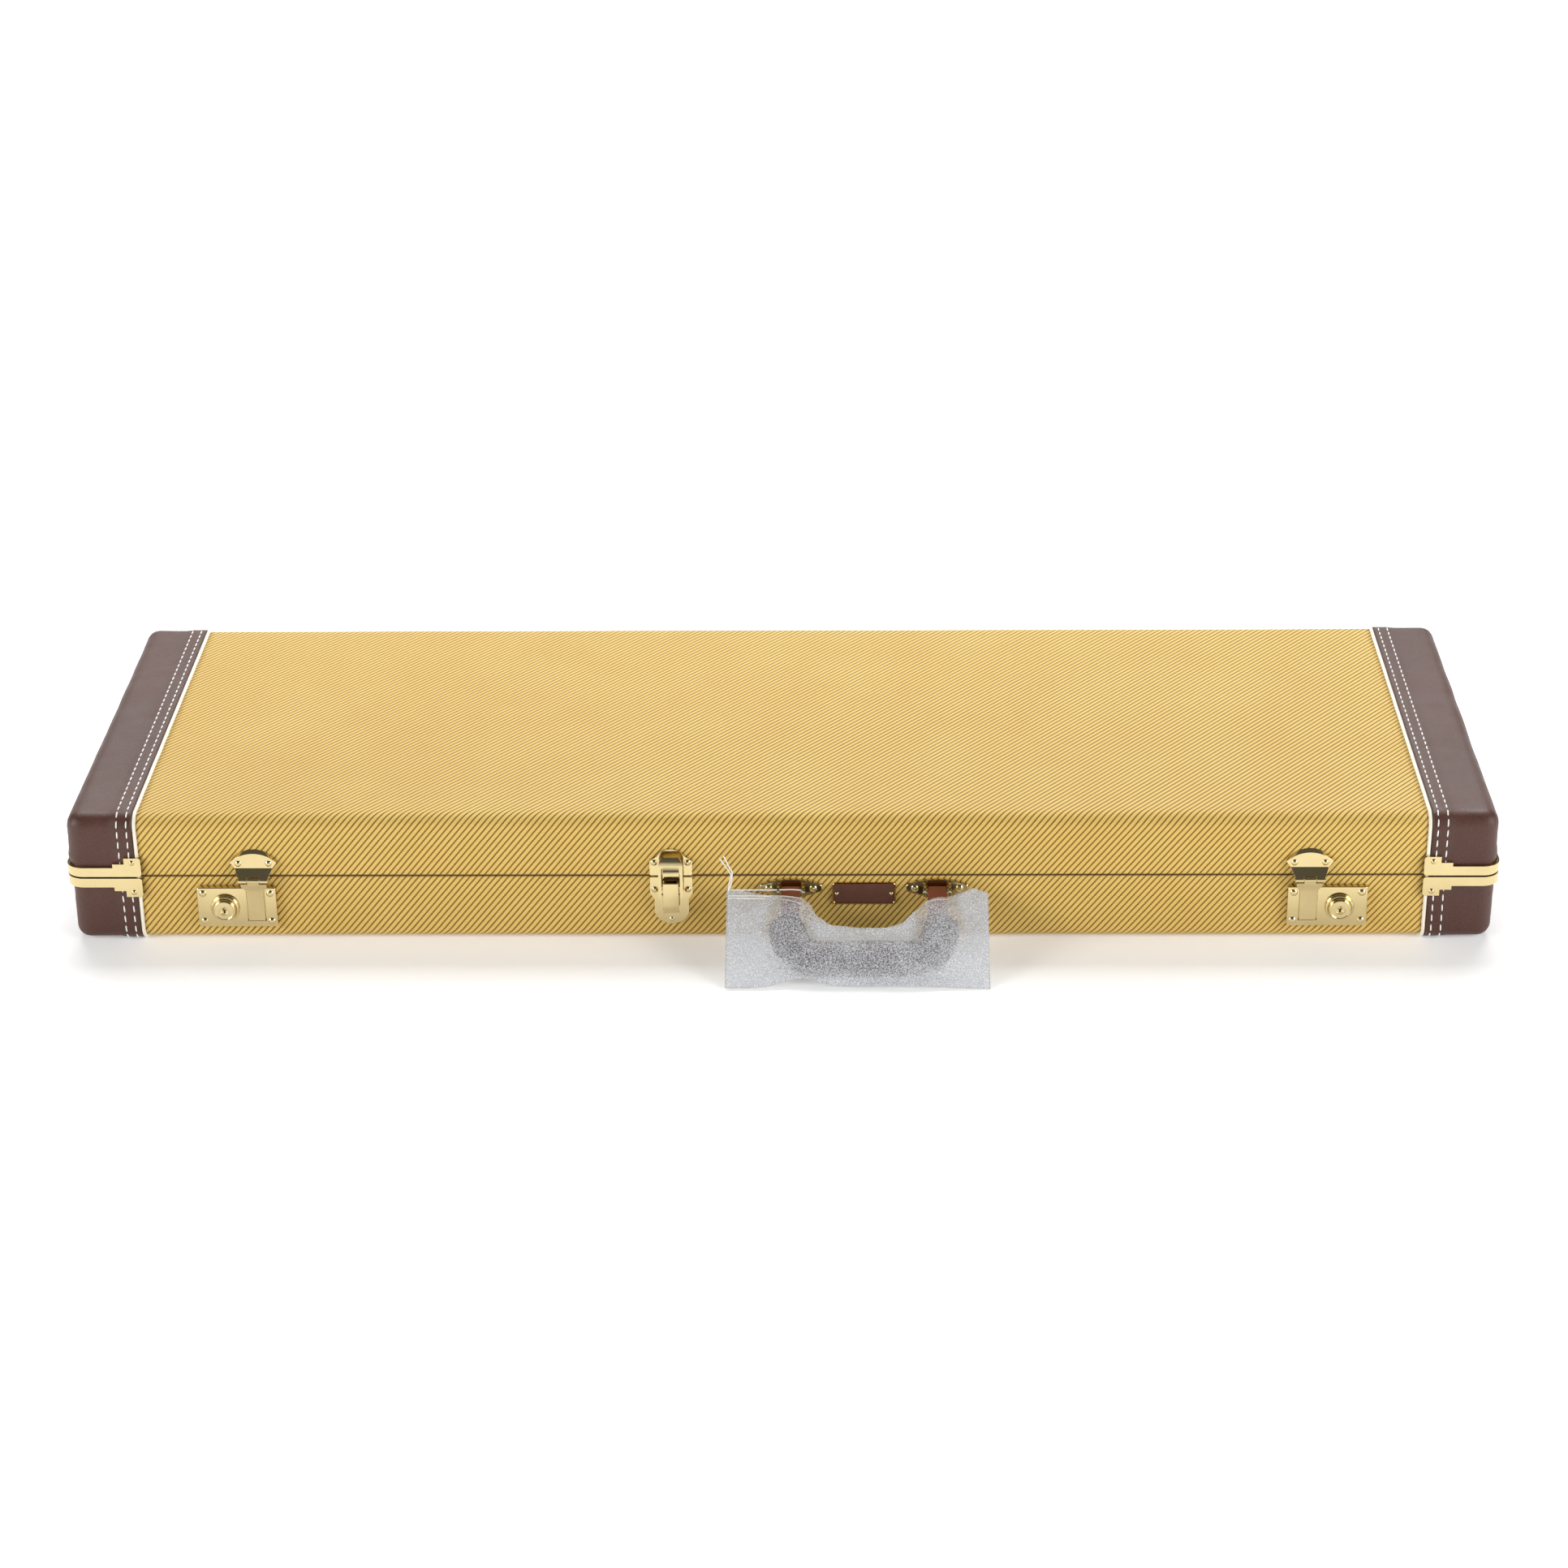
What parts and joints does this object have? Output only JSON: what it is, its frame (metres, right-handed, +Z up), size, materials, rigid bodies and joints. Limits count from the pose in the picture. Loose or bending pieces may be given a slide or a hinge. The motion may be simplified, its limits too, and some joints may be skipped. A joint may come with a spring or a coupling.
{
  "type": "guitar case",
  "caption": "Rectangular hard case for an electric guitar, tweed covered with leatherette ends, key locks, draw latch, strap handle and a back-hinged lid.",
  "frame": {"origin": "on the floor, under the centre of the case's plan", "axes": "+X along the case towards the wide end of the guitar, +Y from the latches to the hinges, +Z up through the closed lid"},
  "size_m": [1.0792, 0.4433, 0.1064],
  "materials": {
    "tweed": "woven twill under clear lacquer",
    "brown_leatherette": "fine pebble grain, semi-matt",
    "white_piping": "smooth vinyl",
    "brass_trim": "polished, lacquered",
    "plywood": "raw ply",
    "red_plush": "short pile",
    "handle_leather": "smooth, semi-gloss",
    "foam_wrap": "thin translucent packing foam",
    "badge_enamel": "satin enamel with a plain gilt border"
  },
  "bodies": {
    "base": {"base_shell": "plywood", "base_tweed_cover": "tweed", "base_end_cover_left": "brown_leatherette", "base_end_cover_right": "brown_leatherette", "base_piping_left": "white_piping", "base_piping_right": "white_piping", "base_valance_left": "brass_trim", "base_valance_right": "brass_trim", "base_trim_rivets": "brass_trim", "base_front_rivets": "brass_trim", "base_hinge_leaves": "brass_trim", "hinge_pins": "brass_trim", "floor_pad": "red_plush", "body_pad_front": "red_plush", "body_pad_back": "red_plush", "neck_cradle": "red_plush", "neck_side_pad": "red_plush", "head_pads": "red_plush", "accessory_box": "red_plush", "lock_plate_left": "brass_trim", "lock_plate_right": "brass_trim", "latch_base": "brass_trim", "latch_pin": "brass_trim", "handle_brackets": "brass_trim", "handle_pins": "brass_trim", "handle_screws": "brass_trim", "badge_plate": "badge_enamel"},
    "lid": {"lid_shell": "plywood", "lid_tweed_cover": "tweed", "lid_end_cover_left": "brown_leatherette", "lid_end_cover_right": "brown_leatherette", "lid_piping_left": "white_piping", "lid_piping_right": "white_piping", "lid_valance_left": "brass_trim", "lid_valance_right": "brass_trim", "lid_trim_rivets": "brass_trim", "lid_front_rivets": "brass_trim", "lid_hinge_leaves": "brass_trim", "lid_side_lining": "red_plush", "lid_top_pad": "red_plush", "hasp_bracket_left": "brass_trim", "hasp_bracket_right": "brass_trim", "hasp_pins": "brass_trim", "latch_catch": "brass_trim"},
    "accessory_lid": {"accessory_lid": "red_plush", "accessory_pull_tab": "red_plush"},
    "hasp_left": {"hasp_left": "brass_trim"},
    "hasp_right": {"hasp_right": "brass_trim"},
    "lock_button_left": {"lock_button_left": "brass_trim"},
    "lock_button_right": {"lock_button_right": "brass_trim"},
    "lock_cylinder_left": {"lock_cylinder_left": "brass_trim"},
    "lock_cylinder_right": {"lock_cylinder_right": "brass_trim"},
    "latch_lever": {"latch_lever": "brass_trim"},
    "latch_loop": {"latch_loop": "brass_trim"},
    "handle": {"handle_strap_left": "handle_leather", "handle_strap_right": "handle_leather", "handle_grip": "handle_leather", "handle_wrap": "foam_wrap"}
  },
  "joints": [
    {"name": "lid_hinge", "type": "hinge", "parent": "base", "child": "lid", "pos_m": [0, 0.1832, 0.056], "axis": [-1, 0, 0], "range_deg": [0, 100]},
    {"name": "accessory_lid_hinge", "type": "hinge", "parent": "base", "child": "accessory_lid", "pos_m": [-0.156, -0.042, 0.0526], "axis": [-1, 0, 0], "range_deg": [0, 85]},
    {"name": "hasp_left_hinge", "type": "hinge", "parent": "lid", "child": "hasp_left", "pos_m": [-0.3965, -0.1875, 0.056], "axis": [-1, 0, 0], "range_deg": [0, 140]},
    {"name": "lock_button_left_slide", "type": "slide", "parent": "base", "child": "lock_button_left", "axis": [-1, 0, 0], "range_m": [0, 0.004], "stiffness_N_per_m": 400},
    {"name": "lock_cylinder_left_turn", "type": "hinge", "parent": "lock_button_left", "child": "lock_cylinder_left", "pos_m": [-0.42, -0.188, 0.0312], "axis": [0, -1, 0], "range_deg": [0, 90]},
    {"name": "hasp_right_hinge", "type": "hinge", "parent": "lid", "child": "hasp_right", "pos_m": [0.3965, -0.1875, 0.056], "axis": [-1, 0, 0], "range_deg": [0, 140]},
    {"name": "lock_button_right_slide", "type": "slide", "parent": "base", "child": "lock_button_right", "axis": [1, 0, 0], "range_m": [0, 0.004], "stiffness_N_per_m": 400},
    {"name": "lock_cylinder_right_turn", "type": "hinge", "parent": "lock_button_right", "child": "lock_cylinder_right", "pos_m": [0.42, -0.188, 0.0312], "axis": [0, -1, 0], "range_deg": [0, 90]},
    {"name": "latch_lever_hinge", "type": "hinge", "parent": "base", "child": "latch_lever", "pos_m": [-0.0821, -0.1864, 0.05], "axis": [-1, 0, 0], "range_deg": [0, 130]},
    {"name": "latch_loop_hinge", "type": "hinge", "parent": "latch_lever", "child": "latch_loop", "pos_m": [-0.0821, -0.1874, 0.0434], "axis": [-1, 0, 0], "range_deg": [-130, 0]},
    {"name": "handle_swing", "type": "hinge", "parent": "base", "child": "handle", "pos_m": [0.063, -0.188, 0.0465], "axis": [-1, 0, 0], "range_deg": [-33, 100]}
  ],
  "couplings": [
    {"joint": "accessory_lid_hinge", "follows": "lid_hinge", "ratio": 0.85},
    {"joint": "latch_loop_hinge", "follows": "latch_lever_hinge", "ratio": -1}
  ]
}
